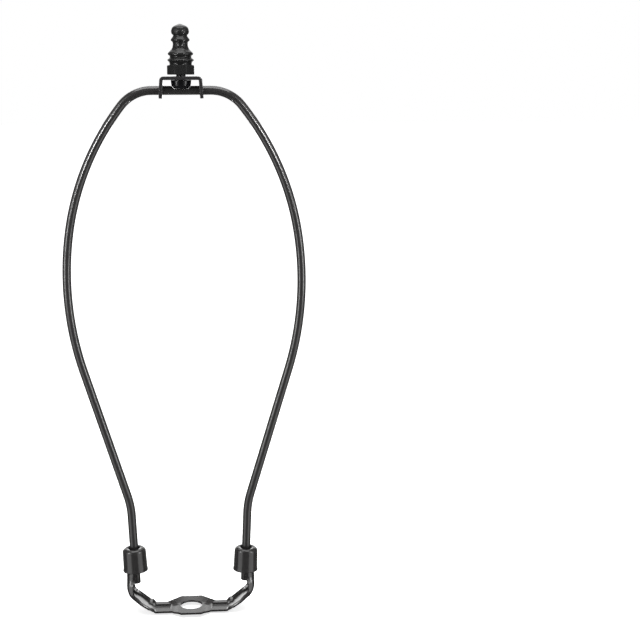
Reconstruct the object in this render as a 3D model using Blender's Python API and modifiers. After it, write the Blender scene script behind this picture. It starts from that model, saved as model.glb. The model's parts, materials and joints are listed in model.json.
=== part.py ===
"""Lamp harp: a bent wire bow on a formed sheet saddle, with two locking ferrules,
a swivel clip, its threaded stud and a turned finial. Metres, +Z up, X across the harp."""

import math

import bmesh
import bpy
from mathutils import Matrix, Vector

MM = 0.001
DEG = math.pi / 180

# Overall
HARP_HEIGHT = 254.0 * MM  # saddle seat to clip top, a nominal 10 inch harp
RUN_GAP = 0.3 * MM  # room left between pieces that slide or turn on each other

# Wire bow. Its route has a corner at each bend, and the bend rounds it off. The belly's
# corner lies midway in height between the crown and the heel.
WIRE_D = 4.12 * MM
CROWN_DROP = 6.3 * MM  # clip top down to the wire's axis
SHOULDER_HALF = 22.12 * MM
SHOULDER_R = 17.8 * MM
SIDE_HALF = 47.63 * MM
SIDE_DROP = 32.3 * MM  # below the crown
BELLY_HALF = 57.95 * MM
HEEL_HALF = 27.88 * MM
HEEL_RISE = 51.75 * MM  # above the saddle seat
HEEL_R = 40.0 * MM
LEG_LEAN = 2.55 * DEG  # of the straight legs, outwards going up
LEG_END = 12.9 * MM  # height of the cut ends above the saddle seat
LEG_END_ROUND = 0.5 * MM
WIRE_SIDES = 16
BEND_STEPS = (10, 8, 8, 5)
SEAT_FLAT_HALF = 3.4 * MM  # coined flat under the stud's head
SEAT_FLAT_DEPTH = 1.3 * MM
SEAT_FLAT_RAMP = 1.25 * MM

# Saddle, a strip of sheet with an eye in the middle and curled arms
SHEET = 0.9 * MM
STRIP_HALF = 6.4 * MM
EYE_HOLE_D = 10.6 * MM  # clears a 1/8 pipe nipple, 10.3 mm over its thread
EYE_FLAT_R = 7.0 * MM  # flat annulus that the lock nut bears on
EYE_HALF = 10.8 * MM  # half the width over the eye's flats
EYE_CORNER = 4.85 * MM  # half the length of its front and back flats
EYE_RISE = 0.9 * MM  # how far the eye is dished up above the strip
DISH_END_R = 15.0 * MM
POCKET_DEPTH = 0.7 * MM
POCKET_HALF = 3.25 * MM
POCKET_START = 10.5 * MM
POCKET_END = 16.6 * MM
POCKET_WALL = 0.5 * MM  # run of the pressed walls
ELBOW_X = 19.4 * MM
ELBOW_R = 5.5 * MM
RISE_ANGLE = 38.0 * DEG
KNEE_R = 7.55 * MM
ARM_TOP = 28.5 * MM  # tips of the arms above the saddle seat
TROUGH_R = 3.8 * MM
TIP_TROUGH_R = 2.9 * MM
EDGE_ROUND = 0.16 * MM

# Ferrules, drawn cups that slide down over wire and arm
FERRULE_MOUTH = 19.3 * MM  # height of the open end above the saddle seat
RIGHT_FERRULE_DROP = 1.1 * MM  # the right one sits this much lower
FERRULE_H = 11.6 * MM
FERRULE_R = 5.7 * MM
FERRULE_WALL = 0.72 * MM
FERRULE_LIP = 0.22 * MM
FERRULE_SHOULDER = 1.25 * MM
FERRULE_HOLE_D = 5.6 * MM
TURN_STEPS = 28

# Swivel clip, a strap bent over the stud's head and the wire
CLIP_SHEET = 1.62 * MM
CLIP_HALF = 9.6 * MM
CLIP_WIDTH = 12.0 * MM
CLIP_DROP = 9.9 * MM
CLIP_BEND_R = 1.8 * MM
CLIP_FLARE = 0.6 * MM
CLIP_CORNER = 2.2 * MM
CLIP_WIRE_GAP = 0.25 * MM
CLIP_BEND_STEPS = 6

# Threaded stud, 1/4 inch 27 turns to the inch, drawn at its pitch diameter
THREAD_MAJOR_D = 6.35 * MM
THREAD_D = 5.8 * MM
STUD_TOP = 9.6 * MM  # above the clip top
NECK_D = 4.4 * MM
NECK_H = 1.25 * MM
HEAD_D = 9.5 * MM
HEAD_RIM_D = 5.7 * MM
HEAD_SEAT_GAP = 0.12 * MM

# Finial
FINIAL_LIFT = 0.75 * MM  # underside above the clip top, room for a shade's ring
FINIAL_H = 22.8 * MM
BASE_FLATS = 12.28 * MM
BASE_H = 4.3 * MM
BASE_EASE = 0.4 * MM
BORE_DEPTH = 9.2 * MM
BORE_MOUTH = 0.5 * MM
# Turned outline of knob, neck and three rings: radius and depth below the tip
FINIAL_OUTLINE = tuple((r * MM, depth * MM) for r, depth in (
    (0.0, 0.0), (1.2, 0.2), (2.35, 0.6), (3.2, 1.15), (3.75, 1.85), (4.03, 2.9),
    (4.03, 3.65), (3.85, 4.25), (3.5, 4.65), (3.13, 4.98), (3.2, 5.35), (3.55, 5.9),
    (4.0, 6.38), (4.25, 6.8), (4.25, 7.2), (4.0, 7.5), (3.45, 8.0), (3.36, 8.4),
    (3.38, 9.6), (3.6, 10.5), (4.0, 11.32), (4.5, 11.85), (5.35, 12.6), (5.68, 12.98),
    (5.72, 13.35), (5.55, 13.7), (5.0, 14.15), (4.86, 14.5), (4.9, 14.95), (5.2, 15.4),
    (5.75, 15.75), (5.98, 16.1), (5.95, 16.4), (5.62, 16.72), (5.3, 17.15), (5.14, 17.7)))

# Finish: black paint on the pressed and bent steel, a darker one on the turned pieces
PAINT = (0.024, 0.022, 0.022, 1.0)
DARK_PAINT = (0.012, 0.011, 0.012, 1.0)

SEAT_Z = EYE_RISE + POCKET_DEPTH  # underside of the eye above the lowest point
CLIP_TOP = SEAT_Z + HARP_HEIGHT
WIRE_R = WIRE_D / 2
CROWN_Z = CLIP_TOP - CROWN_DROP
MOUTH_Z = SEAT_Z + FERRULE_MOUTH
FLAT_Z = CROWN_Z + WIRE_R - SEAT_FLAT_DEPTH

for old in list(bpy.data.objects):
    bpy.data.objects.remove(old, do_unlink=True)

scene = bpy.context.scene
harp = bpy.data.collections.new("lamp_harp")
scene.collection.children.link(harp)
cutters = bpy.data.collections.new("cutters")
scene.collection.children.link(cutters)
cutters.hide_render = True


def paint(name, colour, roughness):
    material = bpy.data.materials.new(name)
    material.use_nodes = True
    shader = material.node_tree.nodes["Principled BSDF"]
    shader.inputs["Base Color"].default_value = colour
    shader.inputs["Roughness"].default_value = roughness
    shader.inputs["Metallic"].default_value = 0.0
    material.diffuse_color = colour
    return material


def add_object(name, mesh, material=None, collection=harp):
    piece = bpy.data.objects.new(name, mesh)
    collection.objects.link(piece)
    if material:
        mesh.materials.append(material)
    return piece


def mesh_from(bm, name):
    bmesh.ops.recalc_face_normals(bm, faces=bm.faces)
    mesh = bpy.data.meshes.new(name)
    bm.to_mesh(mesh)
    bm.free()
    return mesh


def cutter(name, mesh):
    piece = add_object(name, mesh, collection=cutters)
    piece.hide_render = True
    piece.display_type = "WIRE"
    return piece


def boolean(piece, tool, operation="DIFFERENCE"):
    modifier = piece.modifiers.new(tool.name, "BOOLEAN")
    modifier.operation = operation
    modifier.solver = "EXACT"
    modifier.object = tool


def bevel(piece, width, angle, segments=1):
    modifier = piece.modifiers.new("edges", "BEVEL")
    modifier.width = width
    modifier.segments = segments
    modifier.limit_method = "ANGLE"
    modifier.angle_limit = angle
    return modifier


def turned(profile, steps=3):
    """Points of a turned outline. Each entry is (radius, height, bulge); the bulge is the
    arc's sagitta on the way to the next entry, and is positive where it swells to the left."""
    points = []
    for (r0, z0, sag), (r1, z1, _) in zip(profile, profile[1:]):
        points.append((r0, z0))
        if not sag:
            continue
        dx, dz = r1 - r0, z1 - z0
        chord = math.hypot(dx, dz)
        radius = (chord**2 / 4 + sag**2) / (2 * abs(sag))
        centre_off = math.copysign(radius - abs(sag), sag)
        left = (-dz / chord, dx / chord)
        cx = (r0 + r1) / 2 - left[0] * centre_off
        cz = (z0 + z1) / 2 - left[1] * centre_off
        a0 = math.atan2(z0 - cz, r0 - cx)
        sweep = 2 * math.asin(chord / 2 / radius) * (-1 if sag > 0 else 1)
        for i in range(1, steps):
            a = a0 + sweep * i / steps
            points.append((cx + radius * math.cos(a), cz + radius * math.sin(a)))
    points.append(profile[-1][:2])
    return points


def lathe(name, outline, material, closed, steps=TURN_STEPS):
    bm = bmesh.new()
    verts = [bm.verts.new((max(r, 0.0), 0, z)) for r, z in outline]
    for a, b in zip(verts, verts[1:]):
        bm.edges.new((a, b))
    if closed:
        bm.edges.new((verts[-1], verts[0]))
    mesh = bpy.data.meshes.new(name)
    bm.to_mesh(mesh)
    bm.free()
    piece = add_object(name, mesh, material)
    screw = piece.modifiers.new("turn", "SCREW")
    screw.axis = "Z"
    screw.steps = screw.render_steps = steps
    screw.use_merge_vertices = True
    screw.merge_threshold = 0.00001
    screw.use_normal_calculate = True
    return piece


def smooth_step(t):
    t = min(max(t, 0.0), 1.0)
    return t * t * (3 - 2 * t)


# The wire bow: arcs and straights in the XZ plane

def leg_x(z):
    """Distance of the leg's axis from the middle of the harp, at a height on the straight."""
    return HEEL_HALF - (SEAT_Z + HEEL_RISE - z) * math.tan(LEG_LEAN)


def bow_side():
    """Axis of the bow's right half, from the middle of the crown to the cut end."""
    heel = Vector((HEEL_HALF, SEAT_Z + HEEL_RISE))
    foot_z = SEAT_Z + LEG_END
    corners = [Vector((0.0, CROWN_Z)), Vector((SHOULDER_HALF, CROWN_Z)),
               Vector((SIDE_HALF, CROWN_Z - SIDE_DROP)),
               Vector((BELLY_HALF, (CROWN_Z + heel.y) / 2)), heel,
               Vector((leg_x(foot_z), foot_z))]
    legs = [b - a for a, b in zip(corners, corners[1:])]
    turns = [math.atan2(a.cross(b), a.dot(b)) for a, b in zip(legs, legs[1:])]
    # how much of its straights each bend takes up; the side and the belly leave none
    shoulder = SHOULDER_R * math.tan(abs(turns[0]) / 2)
    side = legs[1].length - shoulder
    belly = legs[2].length - side
    reaches = (shoulder, side, belly, HEEL_R * math.tan(abs(turns[3]) / 2))
    points = [corners[0]]
    for i, (turn, reach, steps) in enumerate(zip(turns, reaches, BEND_STEPS)):
        along = legs[i].normalized()
        start = corners[i + 1] - along * reach
        radius = reach / math.tan(turn / 2)
        centre = start + Vector((-along.y, along.x)) * radius
        for k in range(steps + 1):
            points.append(centre + Matrix.Rotation(turn * k / steps, 2) @ (start - centre))
    return points + [corners[-1]]


def make_bow(material):
    side = bow_side()
    route = [(-x, z) for x, z in reversed(side[1:])] + side
    curve = bpy.data.curves.new("wire_route", "CURVE")
    curve.dimensions = "3D"
    curve.twist_mode = "MINIMUM"
    curve.bevel_depth = WIRE_R
    curve.bevel_resolution = WIRE_SIDES // 2 - 2
    curve.use_fill_caps = True
    spline = curve.splines.new("POLY")
    spline.points.add(len(route) - 1)
    for point, (x, z) in zip(spline.points, route):
        point.co = (x, 0, z, 1)
    carrier = bpy.data.objects.new("wire_route", curve)
    cutters.objects.link(carrier)
    mesh = bpy.data.meshes.new_from_object(carrier)
    bpy.data.objects.remove(carrier)
    bm = bmesh.new()
    bm.from_mesh(mesh)
    bpy.data.meshes.remove(mesh)
    bmesh.ops.remove_doubles(bm, verts=bm.verts, dist=0.000001)
    rims = [e for e in bm.edges if e.is_manifold and e.calc_face_angle(0) > 80 * DEG]
    bmesh.ops.bevel(bm, geom=rims, offset=LEG_END_ROUND, segments=2, profile=0.5,
                    affect="EDGES")
    bow = add_object("harp_bow", mesh_from(bm, "harp_bow"), material)

    # the press that coins the seat: a block whose lower face is the flat, with ramped ends
    bm = bmesh.new()
    reach = WIRE_D
    across = (-1, 1)
    low = [bm.verts.new((sx * SEAT_FLAT_HALF, sy * reach, FLAT_Z))
           for sx in across for sy in across]
    high = [bm.verts.new((sx * (SEAT_FLAT_HALF + SEAT_FLAT_RAMP * WIRE_D / SEAT_FLAT_DEPTH),
                          sy * reach, FLAT_Z + WIRE_D))
            for sx in across for sy in across]
    for ring in (low, high):
        bm.faces.new((ring[0], ring[1], ring[3], ring[2]))
    for a, b in ((0, 1), (1, 3), (3, 2), (2, 0)):
        bm.faces.new((low[a], low[b], high[b], high[a]))
    boolean(bow, cutter("seat_press", mesh_from(bm, "seat_press")))
    return bow


# The saddle: a flat blank, then the bends that form it

FLOOR_X = leg_x(MOUTH_Z) + TROUGH_R  # middle of the sheet at the back of the trough
FLAT_MID = SEAT_Z - EYE_RISE + SHEET / 2
CLIMB = (FLOOR_X - ELBOW_X) * math.tan(RISE_ANGLE)
ELBOW_T = ELBOW_R * math.tan(RISE_ANGLE / 2)
KNEE_T = KNEE_R * math.tan((math.pi / 2 - RISE_ANGLE) / 2)
RAMP_LEN = (FLOOR_X - ELBOW_X) / math.cos(RISE_ANGLE) - ELBOW_T - KNEE_T
NECK_START = MOUTH_Z + 2.0 * MM
NECK_END = SEAT_Z + ARM_TOP - 2.5 * MM
NECK_SHIFT = FLOOR_X - TIP_TROUGH_R - leg_x((NECK_END + SEAT_Z + ARM_TOP) / 2)

S_ELBOW = ELBOW_X - ELBOW_T
S_RAMP = S_ELBOW + ELBOW_R * RISE_ANGLE
S_KNEE = S_RAMP + RAMP_LEN
S_ARM = S_KNEE + KNEE_R * (math.pi / 2 - RISE_ANGLE)
ARM_START_Z = FLAT_MID + CLIMB + KNEE_T
S_MOUTH = S_ARM + MOUTH_Z - ARM_START_Z
S_TIP = S_ARM + SEAT_Z + ARM_TOP - ARM_START_Z


def spine(s):
    """Point and slope of the saddle's middle line, s along it from the eye's centre."""
    if s <= S_ELBOW:
        return s, FLAT_MID, 0.0
    if s <= S_RAMP:
        a = (s - S_ELBOW) / ELBOW_R
        return S_ELBOW + ELBOW_R * math.sin(a), FLAT_MID + ELBOW_R * (1 - math.cos(a)), a
    x = ELBOW_X + (ELBOW_T + min(s, S_KNEE) - S_RAMP) * math.cos(RISE_ANGLE)
    z = FLAT_MID + (ELBOW_T + min(s, S_KNEE) - S_RAMP) * math.sin(RISE_ANGLE)
    if s <= S_KNEE:
        return x, z, RISE_ANGLE
    a = min((s - S_KNEE) / KNEE_R + RISE_ANGLE, math.pi / 2)
    x += KNEE_R * (math.sin(a) - math.sin(RISE_ANGLE))
    z += KNEE_R * (math.cos(RISE_ANGLE) - math.cos(a))
    if s <= S_ARM:
        return x, z, a
    z += s - S_ARM
    return x - NECK_SHIFT * smooth_step((z - NECK_START) / (NECK_END - NECK_START)), z, a


# How far the strip is curled: at each station its developed half width, the flat floor's
# half width, the curl's angle and the curl's radius
CURL = (
    (S_ELBOW, STRIP_HALF, 4.8 * MM, 0.0, 1.5 * MM),
    (S_RAMP, 6.9 * MM, 4.3 * MM, 42 * DEG, 1.6 * MM),
    ((S_RAMP + S_KNEE) / 2, 7.0 * MM, 4.0 * MM, 64 * DEG, 1.7 * MM),
    (S_KNEE, 6.9 * MM, 3.6 * MM, 70 * DEG, 1.8 * MM),
    (S_ARM, 6.7 * MM, 2.7 * MM, 77 * DEG, 2.2 * MM),
    (S_MOUTH - 3.0 * MM, 6.9 * MM, TROUGH_R + 0.4 * MM - 3.2 * MM, 90 * DEG, 3.2 * MM),
    (S_MOUTH, 6.9 * MM, 0.35 * MM, 90 * DEG, TROUGH_R),
    (S_TIP - 2.5 * MM, 4.9 * MM, 0.0, 90 * DEG, TIP_TROUGH_R),
    (S_TIP, 4.55 * MM, 0.0, 90 * DEG, TIP_TROUGH_R),
)


def curl(s):
    if s <= CURL[0][0]:
        return CURL[0][1:]
    for a, b in zip(CURL, CURL[1:]):
        if s <= b[0]:
            t = smooth_step((s - a[0]) / (b[0] - a[0]))
            return tuple(p + (q - p) * t for p, q in zip(a[1:], b[1:]))
    return CURL[-1][1:]


def ramp(value, start, run):
    return min(max((value - start) / run, 0.0), 1.0)


def dish(x, y):
    """Height of the dished eye above the strip."""
    t = ramp(math.hypot(x, y), EYE_FLAT_R, DISH_END_R - EYE_FLAT_R)
    return EYE_RISE * (1 + math.cos(math.pi * t)) / 2


def formed(s, q, hand):
    """Where a point of the blank lands: s along the strip, q across it as a share of its
    half width, hand -1 or 1 for the left or right arm."""
    half, flat, angle, radius = curl(s)
    across = abs(q) * half
    run = min(across, flat)
    y, rise = run, 0.0
    bent = min(max(across - flat, 0.0), radius * angle)
    if bent > 0:
        y += radius * math.sin(bent / radius)
        rise += radius * (1 - math.cos(bent / radius))
    straight = max(across - flat - radius * angle, 0.0)
    if straight > 0:
        y += straight * math.cos(angle)
        rise += straight * math.sin(angle)
    x, z, slope = spine(s)
    pressed = ramp(s, POCKET_START - POCKET_WALL, POCKET_WALL)
    pressed *= 1 - ramp(s, POCKET_END, POCKET_WALL)
    pressed *= 1 - ramp(y, POCKET_HALF - POCKET_WALL / 2, POCKET_WALL)
    rise += dish(x, y) - POCKET_DEPTH * pressed
    return (hand * (x - rise * math.sin(slope)), math.copysign(y, q),
            z + rise * math.cos(slope))


def spread(start, stop, count):
    return [start + (stop - start) * i / count for i in range(1, count + 1)]


def make_saddle(material):
    wall = POCKET_WALL / 2
    half = (0.0, 1.1 * MM, 2.1 * MM, POCKET_HALF - wall, POCKET_HALF + wall, 4.2 * MM,
            4.9 * MM, 5.5 * MM, STRIP_HALF)
    columns = [q / STRIP_HALF for q in half]
    columns = [-q for q in reversed(columns[1:])] + columns
    shoulder = EYE_CORNER + EYE_HALF - STRIP_HALF  # where the eye's slant meets the strip
    stations = [shoulder, POCKET_START - POCKET_WALL, POCKET_START, 12.6 * MM, 14.6 * MM,
                POCKET_END, POCKET_END + POCKET_WALL]
    stations += [s for s in spread(S_ELBOW, S_RAMP, 3) if s > stations[-1]]
    stations += spread(S_RAMP, S_KNEE, 4) + spread(S_KNEE, S_ARM, 6)
    stations += spread(S_ARM, S_MOUTH, 3) + spread(S_MOUTH, S_TIP, 5)

    bm = bmesh.new()
    sides = {}
    for hand in (1, -1):
        rows = [[bm.verts.new(formed(s, q, hand)) for q in columns] for s in stations]
        for a, b in zip(rows, rows[1:]):
            for i in range(len(columns) - 1):
                bm.faces.new((a[i], a[i + 1], b[i + 1], b[i]))
        sides[hand] = rows[0]

    # the eye's rim: right side, back slant, back flat, left side, front slant, front flat
    def between(a, b, count):
        return [bm.verts.new((a[0] + (b[0] - a[0]) * i / count,
                              a[1] + (b[1] - a[1]) * i / count, 0.0))
                for i in range(1, count)]

    def flat_side(sign, count=8):
        ends = [(shoulder * sign, STRIP_HALF * sign), (EYE_CORNER * sign, EYE_HALF * sign),
                (-EYE_CORNER * sign, EYE_HALF * sign), (-shoulder * sign, STRIP_HALF * sign)]
        chain = between(ends[0], ends[1], 3) + [bm.verts.new((*ends[1], 0.0))]
        chain += between(ends[1], ends[2], count) + [bm.verts.new((*ends[2], 0.0))]
        return chain + between(ends[2], ends[3], 3)

    rim = list(sides[1]) + flat_side(1) + list(reversed(sides[-1])) + flat_side(-1)
    for v in rim:
        v.co.z = FLAT_MID + dish(v.co.x, v.co.y)

    def inner(share, radius):
        ring = []
        for v in rim:
            angle = math.atan2(v.co.y, v.co.x)
            near = (EYE_FLAT_R if radius is None else radius)
            r = near + (math.hypot(v.co.x, v.co.y) - near) * share
            x, y = r * math.cos(angle), r * math.sin(angle)
            ring.append(bm.verts.new((x, y, FLAT_MID + dish(x, y))))
        return ring

    loops = [rim, inner(0.6, None), inner(0.25, None), inner(0.0, None),
             inner(0.0, EYE_HOLE_D / 2)]
    for a, b in zip(loops, loops[1:]):
        for i in range(len(rim)):
            j = (i + 1) % len(rim)
            bm.faces.new((a[i], a[j], b[j], b[i]))
    piece = add_object("saddle", mesh_from(bm, "saddle"), material)
    sheet = piece.modifiers.new("sheet", "SOLIDIFY")
    sheet.thickness = SHEET
    sheet.offset = 0.0
    sheet.use_even_offset = True
    bevel(piece, EDGE_ROUND, 70 * DEG)
    return piece


# Ferrules

def make_ferrule(name, hand, mouth_z, material):
    mouth_r = FERRULE_R + 0.1 * MM
    inner_r = FERRULE_R - FERRULE_WALL
    hole_r = FERRULE_HOLE_D / 2
    top_inner = FERRULE_H - FERRULE_WALL
    ease = FERRULE_SHOULDER - FERRULE_WALL
    outline = turned((
        (hole_r + 0.2 * MM, FERRULE_H, 0),
        (FERRULE_R - 0.15 * MM - FERRULE_SHOULDER, FERRULE_H, 0.29 * FERRULE_SHOULDER),
        (FERRULE_R - 0.15 * MM, FERRULE_H - FERRULE_SHOULDER, 0),
        (FERRULE_R, FERRULE_H * 0.55, 0),
        (mouth_r, 1.5 * MM, 0),
        (mouth_r + FERRULE_LIP, 0.35 * MM, 0),
        (mouth_r + FERRULE_LIP - 0.2 * MM, 0.0, 0),
        (inner_r + 0.12 * MM, 0.0, 0),
        (inner_r, 0.3 * MM, 0),
        (inner_r, top_inner - ease, -0.29 * ease),
        (inner_r - ease, top_inner, 0),
        (hole_r, top_inner, 0),
        (hole_r, FERRULE_H - 0.2 * MM, 0),
    ), steps=4)
    piece = lathe(name, outline, material, closed=True)
    piece.location = (hand * leg_x(mouth_z), 0, mouth_z)
    piece.rotation_euler = (0, hand * LEG_LEAN, 0)
    return piece


# Swivel clip

def make_clip(material):
    half, drop, t = CLIP_HALF, CLIP_DROP, CLIP_SHEET

    def strap(inset):
        r = CLIP_BEND_R - inset
        side_x = half - inset
        points = [(side_x + CLIP_FLARE, -drop)]
        for i in range(CLIP_BEND_STEPS + 1):
            a = math.pi / 2 * i / CLIP_BEND_STEPS
            points.append((side_x - r + r * math.cos(a), -inset - r + r * math.sin(a)))
        return points

    outer = strap(0.0)
    inner_side = strap(t)
    right = outer + [(x, z) for x, z in reversed([(-a, b) for a, b in outer])]
    left = inner_side + [(x, z) for x, z in reversed([(-a, b) for a, b in inner_side])]
    outline = right + list(reversed(left))
    bm = bmesh.new()
    face = bm.faces.new([bm.verts.new((x, -CLIP_WIDTH / 2, CLIP_TOP + z))
                         for x, z in outline])
    grown = bmesh.ops.extrude_face_region(bm, geom=[face])
    for v in grown["geom"]:
        if isinstance(v, bmesh.types.BMVert):
            v.co.y += CLIP_WIDTH
    # round the lower corners of both legs
    foot = CLIP_TOP - drop
    corners = [e for e in bm.edges
               if all(abs(v.co.z - foot) < 1e-6 for v in e.verts)
               and abs(e.verts[0].co.y - e.verts[1].co.y) < 1e-6
               and 0.5 * t < e.calc_length() < 2 * t]
    bmesh.ops.bevel(bm, geom=corners, offset=CLIP_CORNER, segments=5, profile=0.5,
                    affect="EDGES")
    piece = add_object("swivel_clip", mesh_from(bm, "swivel_clip"), material)

    bm = bmesh.new()
    bmesh.ops.create_cone(bm, segments=24, radius1=WIRE_R + CLIP_WIRE_GAP,
                          radius2=WIRE_R + CLIP_WIRE_GAP, depth=4 * CLIP_HALF,
                          cap_ends=True,
                          matrix=Matrix.Translation((0, 0, CROWN_Z))
                          @ Matrix.Rotation(math.pi / 2, 4, "Y"))
    boolean(piece, cutter("wire_punch", mesh_from(bm, "wire_punch")))
    bm = bmesh.new()
    stud_hole = THREAD_MAJOR_D / 2 + 0.15 * MM
    bmesh.ops.create_cone(bm, segments=28, radius1=stud_hole, radius2=stud_hole,
                          depth=4 * CLIP_SHEET, cap_ends=True,
                          matrix=Matrix.Translation((0, 0, CLIP_TOP)))
    boolean(piece, cutter("stud_punch", mesh_from(bm, "stud_punch")))
    bevel(piece, 0.2 * MM, 60 * DEG)
    return piece


# Stud

def make_stud(material):
    head_top = CLIP_TOP - CLIP_SHEET - HEAD_SEAT_GAP - 0.05 * MM
    rim_z = FLAT_Z + HEAD_SEAT_GAP
    head_r, rim_r = HEAD_D / 2, HEAD_RIM_D / 2
    tall = head_top - rim_z
    neck_r, thread_r = NECK_D / 2, THREAD_D / 2
    neck_top = CLIP_TOP + NECK_H
    top = CLIP_TOP + STUD_TOP
    outline = turned((
        (0.0, top, 0),
        (thread_r - 0.5 * MM, top, 0),
        (thread_r, top - 0.5 * MM, 0),
        (thread_r, neck_top + 0.4 * MM, 0),
        (neck_r, neck_top, 0),
        (neck_r, head_top + 0.15 * MM, 0),
        (neck_r + 0.15 * MM, head_top, 0),
        (head_r - 0.25 * MM, head_top, 0),
        (head_r, head_top - 0.3 * MM, 0),
        (head_r, rim_z + tall * 0.78, tall * 0.13),
        (rim_r + 0.15 * MM, rim_z + 0.15 * MM, 0),
        (rim_r, rim_z, 0),
        (0.0, rim_z, 0),
    ), steps=6)
    return lathe("threaded_stud", outline, material, closed=False)


# Finial

def make_finial(material):
    flats = BASE_FLATS / 2
    corner_r = flats / math.cos(math.pi / 8)
    bore_r = THREAD_MAJOR_D / 2
    outline = [(r, FINIAL_H - depth) for r, depth in FINIAL_OUTLINE]
    outline += [
        (FINIAL_OUTLINE[-1][0], BASE_H),
        (flats - 0.1 * MM, BASE_H),
        (corner_r, BASE_H - BASE_EASE),
        (corner_r, BASE_EASE * 0.75),
        (flats - 0.1 * MM, 0.0),
        (bore_r + BORE_MOUTH, 0.0),
        (bore_r, BORE_MOUTH),
        (bore_r, BORE_DEPTH),
        (0.0, BORE_DEPTH + bore_r * math.tan(30 * DEG)),
    ]
    piece = lathe("finial", outline, material, closed=False, steps=32)
    piece.location = (0, 0, CLIP_TOP + FINIAL_LIFT)
    bm = bmesh.new()
    bmesh.ops.create_cone(bm, segments=8, radius1=corner_r, radius2=corner_r,
                          depth=4 * FINIAL_H, cap_ends=True,
                          matrix=Matrix.Translation((0, 0, CLIP_TOP))
                          @ Matrix.Rotation(math.pi / 8, 4, "Z"))
    boolean(piece, cutter("flats_die", mesh_from(bm, "flats_die")), "INTERSECT")
    return piece


wire_paint = paint("wire_paint", PAINT, 0.38)
saddle_paint = paint("saddle_paint", PAINT, 0.3)
ferrule_paint = paint("ferrule_paint", PAINT, 0.28)
clip_paint = paint("clip_paint", PAINT, 0.34)
stud_paint = paint("stud_paint", DARK_PAINT, 0.2)
finial_paint = paint("finial_paint", DARK_PAINT, 0.24)

saddle = make_saddle(saddle_paint)
bow = make_bow(wire_paint)
left_ferrule = make_ferrule("left_ferrule", -1, MOUTH_Z, ferrule_paint)
right_ferrule = make_ferrule("right_ferrule", 1, MOUTH_Z - RIGHT_FERRULE_DROP,
                             ferrule_paint)
clip = make_clip(clip_paint)
stud = make_stud(stud_paint)
finial = make_finial(finial_paint)
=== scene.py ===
import json
import math

import bmesh
import bpy
from mathutils import Matrix, Vector


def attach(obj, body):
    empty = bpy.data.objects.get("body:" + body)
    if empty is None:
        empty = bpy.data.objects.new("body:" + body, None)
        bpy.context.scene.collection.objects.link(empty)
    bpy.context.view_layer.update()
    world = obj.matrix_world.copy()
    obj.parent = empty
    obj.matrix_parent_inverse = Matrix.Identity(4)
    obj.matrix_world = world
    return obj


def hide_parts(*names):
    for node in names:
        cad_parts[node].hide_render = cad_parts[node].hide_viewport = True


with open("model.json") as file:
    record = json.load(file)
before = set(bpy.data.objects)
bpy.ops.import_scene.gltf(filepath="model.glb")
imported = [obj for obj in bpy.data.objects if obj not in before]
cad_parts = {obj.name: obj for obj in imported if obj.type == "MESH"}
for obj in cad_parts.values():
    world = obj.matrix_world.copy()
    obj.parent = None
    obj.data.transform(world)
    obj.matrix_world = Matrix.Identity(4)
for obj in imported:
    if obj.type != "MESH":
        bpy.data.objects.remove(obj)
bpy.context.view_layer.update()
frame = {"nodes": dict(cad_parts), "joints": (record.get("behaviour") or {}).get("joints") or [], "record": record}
print("frame loaded:", len(frame["nodes"]), "nodes")

mm = 0.001
deg = math.pi / 180
mounts = {m["name"]: m for m in frame["record"]["mounts"]}
joints = {j["name"]: j for j in frame["joints"]}
seatZ = mounts["saddle_seat"]["pos_m"][2]  # underside of the saddle's eye
clipTop = joints["stud_swivel"]["pos_m"][2]
lean = math.asin(joints["right_ferrule_slide"]["axis"][0])  # of both legs, outwards
near = 0.001 * mm  # places closer than this count as one
weld = 0.002 * mm  # points closer than this are merged


# small helpers shared by the pieces

def pick(geom, kind):
    return [g for g in geom if isinstance(g, kind)]


def vertsOf(edges):
    return {v for e in edges for v in e.verts}


def smoothStep(t):
    t = min(max(t, 0.0), 1.0)
    return t * t * (3 - 2 * t)


def pushLoop(bm, edges, vec):
    # extrudes a loop of edges and returns the new loop
    grown = bmesh.ops.extrude_edge_only(bm, edges=edges)["geom"]
    bmesh.ops.translate(bm, verts=pick(grown, bmesh.types.BMVert), vec=vec)
    return [e for e in pick(grown, bmesh.types.BMEdge) if e.is_boundary]


def chain(bm, points):
    # an open line of edges through points
    verts = [bm.verts.new(p) for p in points]
    for a, b in zip(verts, verts[1:]):
        bm.edges.new((a, b))
    return verts


def roundCorners(bm, verts, size, segments):
    bmesh.ops.bevel(bm, geom=verts, affect="VERTICES", offset=size, segments=segments,
                    profile=0.5, material=-1)


def spinAround(bm, steps):
    # turns an outline in the XZ plane into a full round body about Z
    bmesh.ops.spin(bm, geom=bm.verts[:] + bm.edges[:], cent=(0, 0, 0), axis=(0, 0, 1),
                   angle=2 * math.pi, steps=steps, use_merge=True)
    bmesh.ops.remove_doubles(bm, verts=bm.verts, dist=weld)
    bmesh.ops.dissolve_degenerate(bm, edges=bm.edges, dist=near)


def toObject(bm, name, outwards=True):
    if outwards:
        bmesh.ops.recalc_face_normals(bm, faces=bm.faces)
    mesh = bpy.data.meshes.new(name)
    bm.to_mesh(mesh)
    bm.free()
    piece = bpy.data.objects.new(name, mesh)
    bpy.context.scene.collection.objects.link(piece)
    return piece


def applyModifiers(piece):
    evaluated = piece.evaluated_get(bpy.context.evaluated_depsgraph_get())
    mesh = bpy.data.meshes.new_from_object(evaluated)
    piece.modifiers.clear()
    piece.data = mesh


def cutWith(piece, tool, operation="DIFFERENCE"):
    modifier = piece.modifiers.new("cut", "BOOLEAN")
    modifier.operation = operation
    modifier.solver = "EXACT"
    modifier.object = tool
    applyModifiers(piece)
    bpy.data.objects.remove(tool)


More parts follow.
